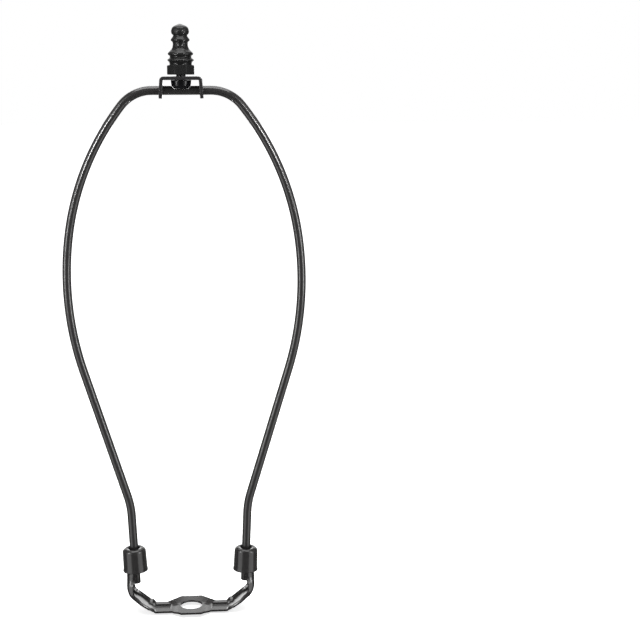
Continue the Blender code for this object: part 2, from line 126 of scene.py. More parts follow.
def easeEdges(piece, width, angle, segments):
    modifier = piece.modifiers.new("edges", "BEVEL")
    modifier.width = width
    modifier.segments = segments
    modifier.limit_method = "ANGLE"
    modifier.angle_limit = angle * deg
    applyModifiers(piece)


def dress(piece, material, node, body, sharp=32):
    # the piece stands for its CAD node and moves with that node's body
    piece.data.materials.clear()
    piece.data.materials.append(material)
    for face in piece.data.polygons:
        face.material_index = 0
    piece.data.shade_smooth()
    piece.data.set_sharp_from_angle(angle=sharp * deg)
    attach(piece, body)
    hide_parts(node)
    print("made", piece.name, len(piece.data.polygons), "faces")
    return piece


def mathNode(tree, operation, *values):
    node = tree.nodes.new("ShaderNodeMath")
    node.operation = operation
    for socket, value in zip(node.inputs, values):
        if isinstance(value, (int, float)):
            socket.default_value = value
        else:
            tree.links.new(value, socket)
    return node.outputs["Value"]


def rangeNode(tree, value, start, stop, low=0.0, high=1.0):
    node = tree.nodes.new("ShaderNodeMapRange")
    node.interpolation_type = "SMOOTHSTEP"
    tree.links.new(value, node.inputs["Value"])
    for name, number in (("From Min", start), ("From Max", stop), ("To Min", low),
                         ("To Max", high)):
        node.inputs[name].default_value = number
    return node.outputs["Result"]


# paint: one group gives the tone, the roughness and the skin of sprayed black enamel

enamelSkin = {
    "cloud": (3.0, 0.55),  # detail and roughness of each noise
    "peel": (2.0, 0.5),
    "grain": (2.0, 0.6),
    "grainOverCloud": 0.6,  # how much of the grain shows in the roughness
    "middle": 0.8,  # what cloud and grain come to on average
    "grainOverPeel": 0.06,  # how much of the grain shows in the height
}


def paintGroup():
    group = bpy.data.node_groups.new("sprayedEnamel", "ShaderNodeTree")
    face = group.interface
    for name, kind in (("Tone", "Color"), ("Pale Tone", "Color"), ("Roughness", "Float"),
                       ("Roughness Spread", "Float"), ("Cloud Scale", "Float"),
                       ("Peel Scale", "Float"), ("Grain Scale", "Float")):
        face.new_socket(name, in_out="INPUT", socket_type="NodeSocket" + kind)
    for name, kind in (("Color", "Color"), ("Roughness", "Float"), ("Height", "Float")):
        face.new_socket(name, in_out="OUTPUT", socket_type="NodeSocket" + kind)
    nodes, links = group.nodes, group.links
    given = nodes.new("NodeGroupInput")
    result = nodes.new("NodeGroupOutput")
    place = nodes.new("ShaderNodeTexCoord")

    def noise(scaleName, detail, roughness):
        node = nodes.new("ShaderNodeTexNoise")
        node.inputs["Detail"].default_value = detail
        node.inputs["Roughness"].default_value = roughness
        links.new(place.outputs["Object"], node.inputs["Vector"])
        links.new(given.outputs[scaleName], node.inputs["Scale"])
        return node.outputs["Fac"]

    e = enamelSkin
    cloud = noise("Cloud Scale", *e["cloud"])
    peel = noise("Peel Scale", *e["peel"])
    grain = noise("Grain Scale", *e["grain"])
    tone = nodes.new("ShaderNodeMix")
    tone.data_type = "RGBA"
    links.new(cloud, tone.inputs["Factor"])
    links.new(given.outputs["Tone"], tone.inputs["A"])
    links.new(given.outputs["Pale Tone"], tone.inputs["B"])
    links.new(tone.outputs["Result"], result.inputs["Color"])
    patches = mathNode(group, "ADD", cloud,
                       mathNode(group, "MULTIPLY", grain, e["grainOverCloud"]))
    swing = mathNode(group, "SUBTRACT", patches, e["middle"])
    spread = mathNode(group, "MULTIPLY", swing, given.outputs["Roughness Spread"])
    links.new(mathNode(group, "ADD", given.outputs["Roughness"], spread),
              result.inputs["Roughness"])
    fine = mathNode(group, "MULTIPLY", grain, e["grainOverPeel"])
    links.new(mathNode(group, "ADD", peel, fine), result.inputs["Height"])
    return group


enamel = paintGroup()


def paint(name, look):
    material = bpy.data.materials.new(name)
    material.use_nodes = True
    nodes, links = material.node_tree.nodes, material.node_tree.links
    shader = nodes["Principled BSDF"]
    skin = nodes.new("ShaderNodeGroup")
    skin.node_tree = enamel
    for socket, value in look["skin"].items():
        skin.inputs[socket].default_value = value
    links.new(skin.outputs["Color"], shader.inputs["Base Color"])
    links.new(skin.outputs["Roughness"], shader.inputs["Roughness"])
    bump = nodes.new("ShaderNodeBump")
    bump.inputs["Distance"].default_value = look["skinHeight"]
    links.new(skin.outputs["Height"], bump.inputs["Height"])
    links.new(bump.outputs["Normal"], shader.inputs["Normal"])
    shader.inputs["Specular IOR Level"].default_value = look["specular"]
    return material


paints = {
    "wire": {
        "skin": {"Tone": (0.021, 0.020, 0.020, 1), "Pale Tone": (0.028, 0.027, 0.027, 1),
                 "Roughness": 0.17, "Roughness Spread": 0.04, "Cloud Scale": 70,
                 "Peel Scale": 500, "Grain Scale": 4200},
        "skinHeight": 0.0018 * mm, "specular": 0.3,
    },
    "saddle": {
        "skin": {"Tone": (0.009, 0.008, 0.008, 1), "Pale Tone": (0.018, 0.017, 0.017, 1),
                 "Roughness": 0.2, "Roughness Spread": 0.10, "Cloud Scale": 220,
                 "Peel Scale": 900, "Grain Scale": 5200},
        "skinHeight": 0.010 * mm, "specular": 0.45,
    },
    "ferrule": {
        "skin": {"Tone": (0.018, 0.017, 0.017, 1), "Pale Tone": (0.024, 0.023, 0.023, 1),
                 "Roughness": 0.19, "Roughness Spread": 0.06, "Cloud Scale": 160,
                 "Peel Scale": 700, "Grain Scale": 5200},
        "skinHeight": 0.006 * mm, "specular": 0.3,
    },
    "clip": {
        "skin": {"Tone": (0.019, 0.018, 0.019, 1), "Pale Tone": (0.026, 0.025, 0.026, 1),
                 "Roughness": 0.24, "Roughness Spread": 0.08, "Cloud Scale": 160,
                 "Peel Scale": 800, "Grain Scale": 5200},
        "skinHeight": 0.007 * mm, "specular": 0.18,
    },
    "stud": {
        "skin": {"Tone": (0.004, 0.004, 0.005, 1), "Pale Tone": (0.007, 0.007, 0.008, 1),
                 "Roughness": 0.16, "Roughness Spread": 0.05, "Cloud Scale": 160,
                 "Peel Scale": 800, "Grain Scale": 5200},
        "skinHeight": 0.004 * mm, "specular": 0.12,
    },
    "finial": {
        "skin": {"Tone": (0.013, 0.013, 0.013, 1), "Pale Tone": (0.019, 0.019, 0.019, 1),
                 "Roughness": 0.2, "Roughness Spread": 0.06, "Cloud Scale": 160,
                 "Peel Scale": 800, "Grain Scale": 5200},
        "skinHeight": 0.005 * mm, "specular": 0.12,
    },
}


# wire bow: a round section pushed and spun along the bends of one half, then mirrored

wire = {
    "radius": 2.06 * mm,
    "sides": 48,
    "crownDrop": 6.3 * mm,  # from the clip's top to the wire's axis
    # rings of points along the crown, close together at the coined flat, in mm
    "crownStations": (1.7, 3.05, 3.22, 3.5, 3.8, 4.1, 4.3, 4.42, 4.6, 6.5),
    "shoulderHalf": 22.12 * mm,  # corners of the route, which the bends round off
    "shoulderRadius": 17.8 * mm,
    "sideHalf": 47.63 * mm,
    "sideDrop": 32.3 * mm,
    "bellyHalf": 57.95 * mm,
    "heelHalf": 27.88 * mm,
    "heelRise": 51.75 * mm,
    "heelRadius": 40.0 * mm,
    "steps": (22, 40, 40, 16),  # faces along each bend
    "legEnd": 12.9 * mm,  # cut ends above the saddle's seat
    "endRound": 0.5 * mm,
    "endSteps": 4,
    "flatHalf": 3.22 * mm,  # coined flat that the stud's head turns on
    "flatRamp": 1.2 * mm,
    "flatDepth": 1.3 * mm,
}
crownZ = clipTop - wire["crownDrop"]
flatZ = crownZ + wire["radius"] - wire["flatDepth"]


def legX(z):
    # how far out the right leg's axis is at a height
    return wire["heelHalf"] - (seatZ + wire["heelRise"] - z) * math.tan(lean)


def bowBends():
    # for each bend of the right half: where it starts, its centre and its turn about Y
    w = wire
    footZ = seatZ + w["legEnd"]
    heelZ = seatZ + w["heelRise"]
    corners = [Vector((x, 0, z)) for x, z in (
        (0.0, crownZ), (w["shoulderHalf"], crownZ), (w["sideHalf"], crownZ - w["sideDrop"]),
        (w["bellyHalf"], (crownZ + heelZ) / 2), (w["heelHalf"], heelZ),
        (legX(footZ), footZ))]
    legs = [b - a for a, b in zip(corners, corners[1:])]
    turns = [math.atan2(a.cross(b).y, a.dot(b)) for a, b in zip(legs, legs[1:])]
    shoulder = w["shoulderRadius"] * math.tan(abs(turns[0]) / 2)
    side = legs[1].length - shoulder
    belly = legs[2].length - side
    reaches = (shoulder, side, belly, w["heelRadius"] * math.tan(abs(turns[3]) / 2))
    bends = []
    for i, (turn, reach) in enumerate(zip(turns, reaches)):
        along = legs[i].normalized()
        start = corners[i + 1] - along * reach
        centre = start + Vector((0, 1, 0)).cross(along) * reach / math.tan(turn / 2)
        bends.append((start, centre, turn))
    return bends, corners[-1]


def makeBow():
    bm = bmesh.new()
    bmesh.ops.create_circle(bm, segments=wire["sides"], radius=wire["radius"],
                            matrix=Matrix.Translation((0, 0, crownZ))
                            @ Matrix.Rotation(math.pi / 2, 4, "Y"))
    loop, x = bm.edges[:], 0.0
    for station in wire["crownStations"]:
        loop = pushLoop(bm, loop, (station * mm - x, 0, 0))
        x = station * mm
    bends, foot = bowBends()
    place = Vector((x, 0, crownZ))
    for (start, centre, turn), steps in zip(bends, wire["steps"]):
        if (start - place).length > near:
            loop = pushLoop(bm, loop, start - place)
        spun = bmesh.ops.spin(bm, geom=loop + list(vertsOf(loop)), cent=centre,
                              axis=(0, 1, 0), angle=turn, steps=steps)["geom_last"]
        loop = pick(spun, bmesh.types.BMEdge)
        place = centre + Matrix.Rotation(turn, 3, "Y") @ (start - centre)

    # straight leg with its rounded cut end
    down = Vector((-math.sin(lean), 0, -math.cos(lean)))
    straight = down * ((place - foot).length - wire["endRound"])
    loop = pushLoop(bm, loop, straight)
    tip = place + straight
    for i in range(1, wire["endSteps"] + 1):
        a = i / wire["endSteps"] * math.pi / 2
        loop = pushLoop(bm, loop, (0, 0, 0))
        r = wire["radius"] - wire["endRound"] * (1 - math.cos(a))
        for v in vertsOf(loop):
            out = v.co - tip
            out -= down * out.dot(down)
            v.co = tip + out.normalized() * r + down * wire["endRound"] * math.sin(a)
    bmesh.ops.holes_fill(bm, edges=loop, sides=0)

    bmesh.ops.mirror(bm, geom=bm.verts[:] + bm.edges[:] + bm.faces[:], axis="X",
                     merge_dist=weld)
    bmesh.ops.remove_doubles(bm, verts=bm.verts, dist=weld)
    for v in bm.verts:  # the press flattens what stands above its face
        rise = (abs(v.co.x) - wire["flatHalf"]) / wire["flatRamp"]
        limit = flatZ + wire["flatDepth"] * max(rise, 0.0)
        if abs(v.co.x) < wire["flatHalf"] + wire["flatRamp"] and v.co.z > limit:
            v.co.z = limit
    piece = toObject(bm, "paintedBow")
    return dress(piece, paint("wirePaint", paints["wire"]), "harp_bow", "bow")


# saddle: a flat blank with an eye, pressed, dished and curled into arms

saddle = {
    "sheet": 0.9 * mm,
    "stripHalf": 6.4 * mm,
    "holeRadius": 5.3 * mm,
    "landRadius": 5.5 * mm,
    "eyeHalf": 10.8 * mm,
    "eyeCorner": 4.85 * mm,
    "eyeRise": 0.6 * mm,
    "stepLength": 3.4 * mm,  # over which the eye's land steps down to the strip
    "landFan": 0.5,  # how much further out, per metre back, the land reaches behind the hole
    "landSlope": 0.035,  # how much the land behind the hole rises to the back
    "landSteep": 7.0 * mm,  # this far out it rises twice as much
    "landLevel": 2.5 * mm,  # up to this far behind the middle it is level
    "pocketDepth": 0.9 * mm,
    "pocketHalf": 3.25 * mm,
    "pocketStart": 10.2 * mm,
    "pocketEnd": 16.6 * mm,
    "pocketWall": 0.5 * mm,
    "pocketRun": 4.6 * mm,  # over which the pocket runs out round the elbow
    "elbowX": 19.4 * mm,
    "elbowRadius": 5.5 * mm,
    "rise": 38.0 * deg,  # slope of the ramp from the elbow to the knee
    "kneeRadius": 7.55 * mm,
    "armTop": 28.5 * mm,
    "troughRadius": 3.8 * mm,
    "tipRadius": 2.9 * mm,
    "edgeRound": 0.17 * mm,
    "curlLead": 0.6 * mm,  # the curl starts this far before the elbow
    "troughLead": 3.0 * mm,  # and opens into a trough from here below the ferrule's mouth
    "neckStart": 2.0 * mm,  # the arms draw in to the wire from here above the ferrule's mouth
    "neckEnd": 2.5 * mm,  # to here below their tips
    "along": 150,  # faces along each arm
    "across": 40,  # faces over the strip's width
    "slantCuts": 13,
    "flatCuts": 29,
    "eyeRings": 16,
}
# at each station of an arm: half widths of the blank and of its flat floor, angle and
# radius of the curl at its edges
saddle["curls"] = {
    "flat": (saddle["stripHalf"], 3.4 * mm, 0.0, 3.4 * mm),
    "elbow": (6.7 * mm, 2.9 * mm, 34 * deg, 3.2 * mm),
    "rampStart": (6.9 * mm, 4.0 * mm, 40 * deg, 2.0 * mm),
    "rampMiddle": (7.35 * mm, 4.8 * mm, 40 * deg, 1.4 * mm),
    "rampEnd": (6.9 * mm, 4.1 * mm, 56 * deg, 1.6 * mm),
    "armStart": (6.7 * mm, 2.7 * mm, 64 * deg, 2.2 * mm),
    "belowFerrule": (6.9 * mm, 1.0 * mm, 82 * deg, 3.2 * mm),
    "ferruleMouth": (6.9 * mm, 0.35 * mm, 90 * deg, saddle["troughRadius"]),
    "neck": (4.9 * mm, 0.0, 90 * deg, saddle["tipRadius"]),
    "tip": (4.55 * mm, 0.0, 90 * deg, saddle["tipRadius"]),
}

ferrule = {
    "mouth": 19.3 * mm,  # open end above the saddle's seat
    "rightDrop": 1.1 * mm,  # the right one sits this much lower
    "height": 11.6 * mm,
    "radius": 5.7 * mm,
    "wall": 0.72 * mm,
    "taper": 0.15 * mm,  # how much slimmer the top is
    "taperFrom": 0.55,  # of the height
    "bell": 0.1 * mm,  # how much the mouth opens
    "bellHeight": 1.5 * mm,  # from here down
    "lip": 0.22 * mm,  # how far the lip stands out of the mouth
    "lipHeight": 0.35 * mm,
    "lipFold": 0.1 * mm,
    "mouthEase": (0.12 * mm, 0.3 * mm),  # inside, where the arm tips go in
    "shoulder": 1.9 * mm,
    "dish": 0.4 * mm,  # how far the top sinks towards the wire
    "hole": 2.8 * mm,
    "holeRound": 0.18 * mm,
    "bellRound": 0.5 * mm,
    "lipRound": 0.09 * mm,
    "steps": 96,
}
mouthZ = seatZ + ferrule["mouth"]


def saddleSpine():
    # the middle line's key lengths, measured from the eye's centre
    s = saddle
    line = {"flatZ": seatZ - s["eyeRise"] + s["sheet"] / 2,
            "floorX": legX(mouthZ) + s["troughRadius"]}
    elbow = s["elbowRadius"] * math.tan(s["rise"] / 2)
    knee = s["kneeRadius"] * math.tan((math.pi / 2 - s["rise"]) / 2)
    run = line["floorX"] - s["elbowX"]
    line["elbow"] = s["elbowX"] - elbow
    line["ramp"] = line["elbow"] + s["elbowRadius"] * s["rise"]
    line["knee"] = line["ramp"] + run / math.cos(s["rise"]) - elbow - knee
    line["arm"] = line["knee"] + s["kneeRadius"] * (math.pi / 2 - s["rise"])
    armZ = line["flatZ"] + run * math.tan(s["rise"]) + knee
    line["mouth"] = line["arm"] + mouthZ - armZ
    line["tip"] = line["arm"] + seatZ + s["armTop"] - armZ
    line["rampFrom"] = elbow
    line["neckStart"] = mouthZ + s["neckStart"]
    line["neckEnd"] = seatZ + s["armTop"] - s["neckEnd"]
    tipMiddle = (line["neckEnd"] + seatZ + s["armTop"]) / 2
    line["neckShift"] = line["floorX"] - s["tipRadius"] - legX(tipMiddle)
    return line


line = saddleSpine()


def spinePoint(d):
    # x, z and slope of the middle line at a distance along it
    s = saddle
    if d <= line["elbow"]:
        return d, line["flatZ"], 0.0
    if d <= line["ramp"]:
        a = (d - line["elbow"]) / s["elbowRadius"]
        return (line["elbow"] + s["elbowRadius"] * math.sin(a),
                line["flatZ"] + s["elbowRadius"] * (1 - math.cos(a)), a)
    run = line["rampFrom"] + min(d, line["knee"]) - line["ramp"]
    x = s["elbowX"] + run * math.cos(s["rise"])
    z = line["flatZ"] + run * math.sin(s["rise"])
    if d <= line["knee"]:
        return x, z, s["rise"]
    a = min((d - line["knee"]) / s["kneeRadius"] + s["rise"], math.pi / 2)
    x += s["kneeRadius"] * (math.sin(a) - math.sin(s["rise"]))
    z += s["kneeRadius"] * (math.cos(s["rise"]) - math.cos(a))
    if d <= line["arm"]:
        return x, z, a
    z += d - line["arm"]
    drawnIn = smoothStep((z - line["neckStart"]) / (line["neckEnd"] - line["neckStart"]))
    return x - line["neckShift"] * drawnIn, z, a


def curlTable():
    # each station's distance along the strip, with its shape there
    places = {
        "flat": line["elbow"] - saddle["curlLead"],
        "elbow": (line["elbow"] + line["ramp"]) / 2,
        "rampStart": line["ramp"],
        "rampMiddle": (line["ramp"] + line["knee"]) / 2,
        "rampEnd": line["knee"],
        "armStart": line["arm"],
        "belowFerrule": line["mouth"] - saddle["troughLead"],
        "ferruleMouth": line["mouth"],
        "neck": line["tip"] - saddle["neckEnd"],
        "tip": line["tip"],
    }
    return [(places[name], *shape) for name, shape in saddle["curls"].items()]


curls = curlTable()


def curlAt(d):
    # the strip's shape between two stations
    if d <= curls[0][0]:
        return curls[0][1:]
    for a, b in zip(curls, curls[1:]):
        if d <= b[0]:
            t = smoothStep((d - a[0]) / (b[0] - a[0]))
            return tuple(p + (q - p) * t for p, q in zip(a[1:], b[1:]))
    return curls[-1][1:]


def dish(x, y):
    # height of the eye's land above the strip; it reaches further out towards its flats
    start = saddle["landRadius"] + saddle["landFan"] * max(y, 0.0)
    t = (abs(x) - start) / saddle["stepLength"]
    back = saddle["landSlope"] * max(y - saddle["landLevel"], 0.0)
    back *= 1 + (x / saddle["landSteep"]) ** 2
    return (saddle["eyeRise"] + back) * (1 + math.cos(math.pi * min(max(t, 0.0), 1.0))) / 2


def formed(d, q):
    # where a point of the right arm's blank lands: d along it, q from -1 to 1 across
    half, flat, angle, radius = curlAt(d)
    across = abs(q) * half
    y, rise = min(across, flat), 0.0
    bent = min(max(across - flat, 0.0), radius * angle)
    y += radius * math.sin(bent / radius)
    rise += radius * (1 - math.cos(bent / radius))
    straight = max(across - flat - radius * angle, 0.0)
    y += straight * math.cos(angle)
    rise += straight * math.sin(angle)
    x, z, slope = spinePoint(d)
    wall = saddle["pocketWall"]
    pressed = smoothStep((d - saddle["pocketStart"] + wall) / wall)
    pressed *= 1 - smoothStep((d - saddle["pocketEnd"]) / saddle["pocketRun"])
    pressed *= 1 - smoothStep((y - saddle["pocketHalf"] + wall / 2) / wall)
    rise += dish(x, math.copysign(y, q)) - saddle["pocketDepth"] * pressed
    return Vector((x - rise * math.sin(slope), math.copysign(y, q), z + rise * math.cos(slope)))


def makeSaddle():
    s = saddle
    start = s["eyeCorner"] + s["eyeHalf"] - s["stripHalf"]
    bm = bmesh.new()
    # right arm: a plain grid, each point moved to its place on the formed strip
    bmesh.ops.create_grid(bm, x_segments=s["along"], y_segments=s["across"], size=0.5)
    for v in bm.verts:
        v.co = formed(start + (v.co.x + 0.5) * (line["tip"] - start), 2 * v.co.y)
    bmesh.ops.mirror(bm, geom=bm.verts[:] + bm.edges[:] + bm.faces[:], axis="X",
                     merge_dist=0)

    def openRim():
        # what the eye closes: its own wire edges and the ends of the two arms
        return [e for e in bm.edges if e.is_wire or (e.is_boundary and all(
            abs(abs(v.co.x) - start) < near for v in e.verts))]

    # the eye's slants and flats close the rim, which then steps in to the hole
    corners = [(start, s["stripHalf"]), (s["eyeCorner"], s["eyeHalf"]),
               (-s["eyeCorner"], s["eyeHalf"]), (-start, s["stripHalf"])]
    for side in (1, -1):
        chain(bm, [(x, y * side, line["flatZ"]) for x, y in corners])
    for level, cuts in ((False, s["slantCuts"]), (True, s["flatCuts"])):
        sides = [e for e in bm.edges if e.is_wire
                 and (abs(e.verts[0].co.y - e.verts[1].co.y) < near) == level]
        bmesh.ops.subdivide_edges(bm, edges=sides, cuts=cuts)
    bmesh.ops.remove_doubles(bm, verts=list(vertsOf(openRim())), dist=10 * weld)
    loop = openRim()
    for v in vertsOf(loop):
        v.co.z = line["flatZ"] + dish(v.co.x, v.co.y)
    for left in range(s["eyeRings"], 0, -1):
        loop = pushLoop(bm, loop, (0, 0, 0))
        for v in vertsOf(loop):
            angle, reach = math.atan2(v.co.y, v.co.x), math.hypot(v.co.x, v.co.y)
            r = s["holeRadius"] + (reach - s["holeRadius"]) * (left - 1) / left
            v.co.x, v.co.y = r * math.cos(angle), r * math.sin(angle)
            v.co.z = line["flatZ"] + dish(v.co.x, v.co.y)
    piece = toObject(bm, "paintedSaddle")
    wall = piece.modifiers.new("sheet", "SOLIDIFY")
    wall.thickness = s["sheet"]
    wall.offset = 0.0
    wall.use_even_offset = True
    applyModifiers(piece)
    easeEdges(piece, s["edgeRound"], angle=65, segments=3)
    return dress(piece, paint("saddlePaint", paints["saddle"]), "saddle", "saddle",
                 sharp=40)


# ferrules: drawn cups with a rolled shoulder and a slightly belled mouth

def makeFerrule(name, hand, openZ, node, body, material):
    f = ferrule
    bm = bmesh.new()
    mouth = f["radius"] + f["bell"]
    inner = f["radius"] - f["wall"]
    top = f["height"]
    easeWidth, easeHeight = f["mouthEase"]
    outline = chain(bm, [(r, 0, z) for r, z in (
        (f["hole"], top - f["wall"] - f["dish"]),
        (f["hole"], top - f["dish"]),
        (f["radius"] - f["taper"], top),
        (f["radius"], top * f["taperFrom"]),
        (mouth, f["bellHeight"]),
        (mouth + f["lip"], f["lipHeight"]),
        (mouth + f["lip"] - f["lipFold"], 0.0),
        (inner + easeWidth, 0.0),
        (inner, easeHeight),
        (inner, top - f["wall"]),
    )])
    bm.edges.new((outline[-1], outline[0]))
    for corners, size, segments in (
            ((2,), f["shoulder"], 8),
            ((1, 0), f["holeRound"], 3),
            ((9,), f["shoulder"] - f["wall"], 5),
            ((4,), f["bellRound"], 4),
            ((5, 6, 7), f["lipRound"], 3)):
        roundCorners(bm, [outline[i] for i in corners], size, segments)
    spinAround(bm, f["steps"])
    bmesh.ops.transform(bm, verts=bm.verts, matrix=Matrix.Translation(
        (hand * legX(openZ), 0, openZ)) @ Matrix.Rotation(hand * lean, 4, "Y"))
    return dress(toObject(bm, name), material, node, body)


# swivel clip: a strap folded down over the wire, with a hole for the stud

clip = {
    "sheet": 1.62 * mm,
    "half": 9.6 * mm,
    "width": 12.0 * mm,
    "drop": 9.9 * mm,
    "bend": 1.8 * mm,
    "flare": 0.6 * mm,
    "corner": 2.2 * mm,
    "wireGap": 0.25 * mm,
    "studHole": 3.325 * mm,
    "edgeRound": 0.28 * mm,
}


def cylinder(name, radius, depth, matrix, segments=64):
    bm = bmesh.new()
    bmesh.ops.create_cone(bm, segments=segments, radius1=radius, radius2=radius,
                          depth=depth, cap_ends=True, matrix=matrix)
    return toObject(bm, name)


def makeClip():
    c = clip
    bm = bmesh.new()
    half, low = c["half"], clipTop - c["drop"]
    back = -c["width"] / 2
    points = chain(bm, [(-half - c["flare"], back, low), (-half, back, clipTop),
                        (half, back, clipTop), (half + c["flare"], back, low)])
    roundCorners(bm, points[1:3], c["bend"], 10)
    sheet = bmesh.ops.extrude_edge_only(bm, edges=bm.edges[:])["geom"]
    bmesh.ops.translate(bm, verts=pick(sheet, bmesh.types.BMVert), vec=(0, c["width"], 0))
    feet = [v for v in bm.verts if abs(v.co.z - low) < near]
    roundCorners(bm, feet, c["corner"], 8)
    bmesh.ops.recalc_face_normals(bm, faces=bm.faces)
    topFace = max(bm.faces, key=lambda f: f.calc_center_median().z)
    if topFace.normal.z < 0:
        bmesh.ops.reverse_faces(bm, faces=bm.faces)
    piece = toObject(bm, "paintedClip", outwards=False)
    wall = piece.modifiers.new("sheet", "SOLIDIFY")
    wall.thickness = c["sheet"]
    wall.offset = -1.0
    wall.use_even_offset = True
    applyModifiers(piece)
    cutWith(piece, cylinder("wirePunch", wire["radius"] + c["wireGap"], 4 * half,
                            Matrix.Translation((0, 0, crownZ))
                            @ Matrix.Rotation(math.pi / 2, 4, "Y")))
    cutWith(piece, cylinder("studPunch", c["studHole"], 4 * c["sheet"],
                            Matrix.Translation((0, 0, clipTop))))
    easeEdges(piece, c["edgeRound"], angle=50, segments=3)
    return dress(piece, paint("clipPaint", paints["clip"]), "swivel_clip", "bow",
                 sharp=35)


# stud: bowl head, neck and a real helical thread

stud = {
    "headRadius": 4.75 * mm,
    "headGap": 0.09 * mm,  # under the clip's strap
    "rimRadius": 3.16 * mm,
    "seatGap": 0.04 * mm,  # over the wire's flat
    "bowlTop": 0.78,  # of the head's height
    "bowlMiddle": (0.945, 0.36),  # of the head's radius and height
    "neckRadius": 2.2 * mm,
    "neckHeight": 1.25 * mm,
    # roundings of the neck's foot, the head's top, the bowl's two turns and the rim
    "rounds": ((0.15 * mm, 3), (0.25 * mm, 4), (0.5 * mm, 6), (0.3 * mm, 5), (0.12 * mm, 3)),
    "top": 9.6 * mm,
    "threadRadius": 2.9 * mm,
    "threadRoot": 2.55 * mm,
    "threadFoot": 0.4 * mm,  # the neck widens to the thread over this height
    "threadStart": 0.1 * mm,  # above the neck
    "pitch": 25.4 * mm / 27,
    # the vee over one pitch: 0 at the root, 1 at the crest
    "vee": ((0, 0.0), (0, 0.08), (1, 0.44), (1, 0.56), (0, 0.92), (0, 1.0)),
    "threadSteps": 48,
    "blunt": 0.45 * mm,  # how far below the root the thread's ends are turned down
    "bluntSlope": 0.9,
    "steps": 96,
}


def makeStud(material):
    s = stud
    headTop = clipTop - clip["sheet"] - s["headGap"]
    rim = flatZ + s["seatGap"]
    tall = headTop - rim
    neckTop = clipTop + s["neckHeight"]
    top = clipTop + s["top"]
    bowlRadius, bowlHeight = s["bowlMiddle"]
    bm = bmesh.new()
    outline = chain(bm, [(r, 0, z) for r, z in (
        (0.0, neckTop + s["threadFoot"]),
        (s["threadRoot"], neckTop + s["threadFoot"]),
        (s["neckRadius"], neckTop),
        (s["neckRadius"], headTop),
        (s["headRadius"], headTop),
        (s["headRadius"], rim + tall * s["bowlTop"]),
        (s["headRadius"] * bowlRadius, rim + tall * bowlHeight),
        (s["rimRadius"], rim),
        (0.0, rim),
    )])
    for corner, (size, segments) in zip(outline[3:], s["rounds"]):
        roundCorners(bm, [corner], size, segments)
    spinAround(bm, s["steps"])
    head = toObject(bm, "paintedStudHead")
    dress(head, material, "threaded_stud", "stud")

    # thread: one pitch of a rounded vee, spun up as a helix and trimmed at both ends
    bm = bmesh.new()
    low = neckTop + s["threadStart"]
    crest, root, pitch = s["threadRadius"], s["threadRoot"], s["pitch"]
    turns = math.ceil((top - low) / pitch) + 2
    chain(bm, [(root + (crest - root) * rise, 0, low - pitch + z * pitch)
               for rise, z in s["vee"]])
    bmesh.ops.spin(bm, geom=bm.verts[:] + bm.edges[:], cent=(0, 0, 0), axis=(0, 0, 1),
                   dvec=(0, 0, pitch / s["threadSteps"]), angle=2 * math.pi * turns,
                   steps=s["threadSteps"] * turns)
    bmesh.ops.remove_doubles(bm, verts=bm.verts, dist=2 * weld)
    for height, normal in ((low, (0, 0, -1)), (top, (0, 0, 1))):
        cut = bmesh.ops.bisect_plane(bm, geom=bm.verts[:] + bm.edges[:] + bm.faces[:],
                                     plane_co=(0, 0, height), plane_no=normal,
                                     clear_outer=True)["geom_cut"]
        bmesh.ops.contextual_create(bm, geom=pick(cut, bmesh.types.BMEdge))
    for v in bm.verts:  # the start of the thread is turned to a blunt cone at both ends
        end = min(top - v.co.z, v.co.z - low)
        limit = root - s["blunt"] + end * s["bluntSlope"]
        reach = math.hypot(v.co.x, v.co.y)
        if reach > limit:
            v.co.x *= limit / reach
            v.co.y *= limit / reach
    thread = toObject(bm, "paintedThread")
    thread.data.materials.append(material)
    thread.data.shade_smooth()
    thread.data.set_sharp_from_angle(angle=28 * deg)
    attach(thread, "stud")
    print("made paintedThread", len(thread.data.polygons), "faces")


# finial: turned knob and rings over an eight-sided base

finial = {
    "lift": 0.75 * mm,
    "height": 22.8 * mm,
    "flats": 12.28 * mm,
    "base": 4.3 * mm,
    "baseEase": 0.4 * mm,  # height of the turned edges at the base's corners, above
    "footEase": 0.3 * mm,  # and below
    "faceEase": 0.1 * mm,  # how far inside the flats the base's end faces stop
    "bore": 3.175 * mm,
    "boreDepth": 9.2 * mm,
    "boreMouth": 0.5 * mm,
    "drillPoint": 30 * deg,
    # knob, neck and three rings: radius and depth below the tip, in mm
    "outline": (
        (0.0, 0.15), (0.55, 0.24), (1.2, 0.5), (2.2, 0.85), (3.05, 1.3), (3.75, 2.05),
        (4.1, 3.1), (4.16, 3.75), (4.05, 4.3), (3.75, 4.8), (3.33, 5.2), (3.28, 5.45),
        (3.5, 5.95), (4.0, 6.6), (4.33, 7.1), (4.36, 7.5), (4.12, 7.85), (3.65, 8.3),
        (3.5, 8.7), (3.5, 9.7), (3.72, 10.6), (4.15, 11.45), (4.7, 12.05), (5.55, 12.85),
        (5.85, 13.3), (5.88, 13.7), (5.65, 14.05), (5.15, 14.45), (5.0, 14.7),
        (5.03, 15.05), (5.33, 15.5), (5.88, 15.9), (6.12, 16.25), (6.09, 16.55),
        (5.75, 16.85), (5.35, 17.3), (5.14, 17.8), (5.14, 18.35)),
    "smoothing": 4,  # points set between each two of the outline
    "steps": 128,
}


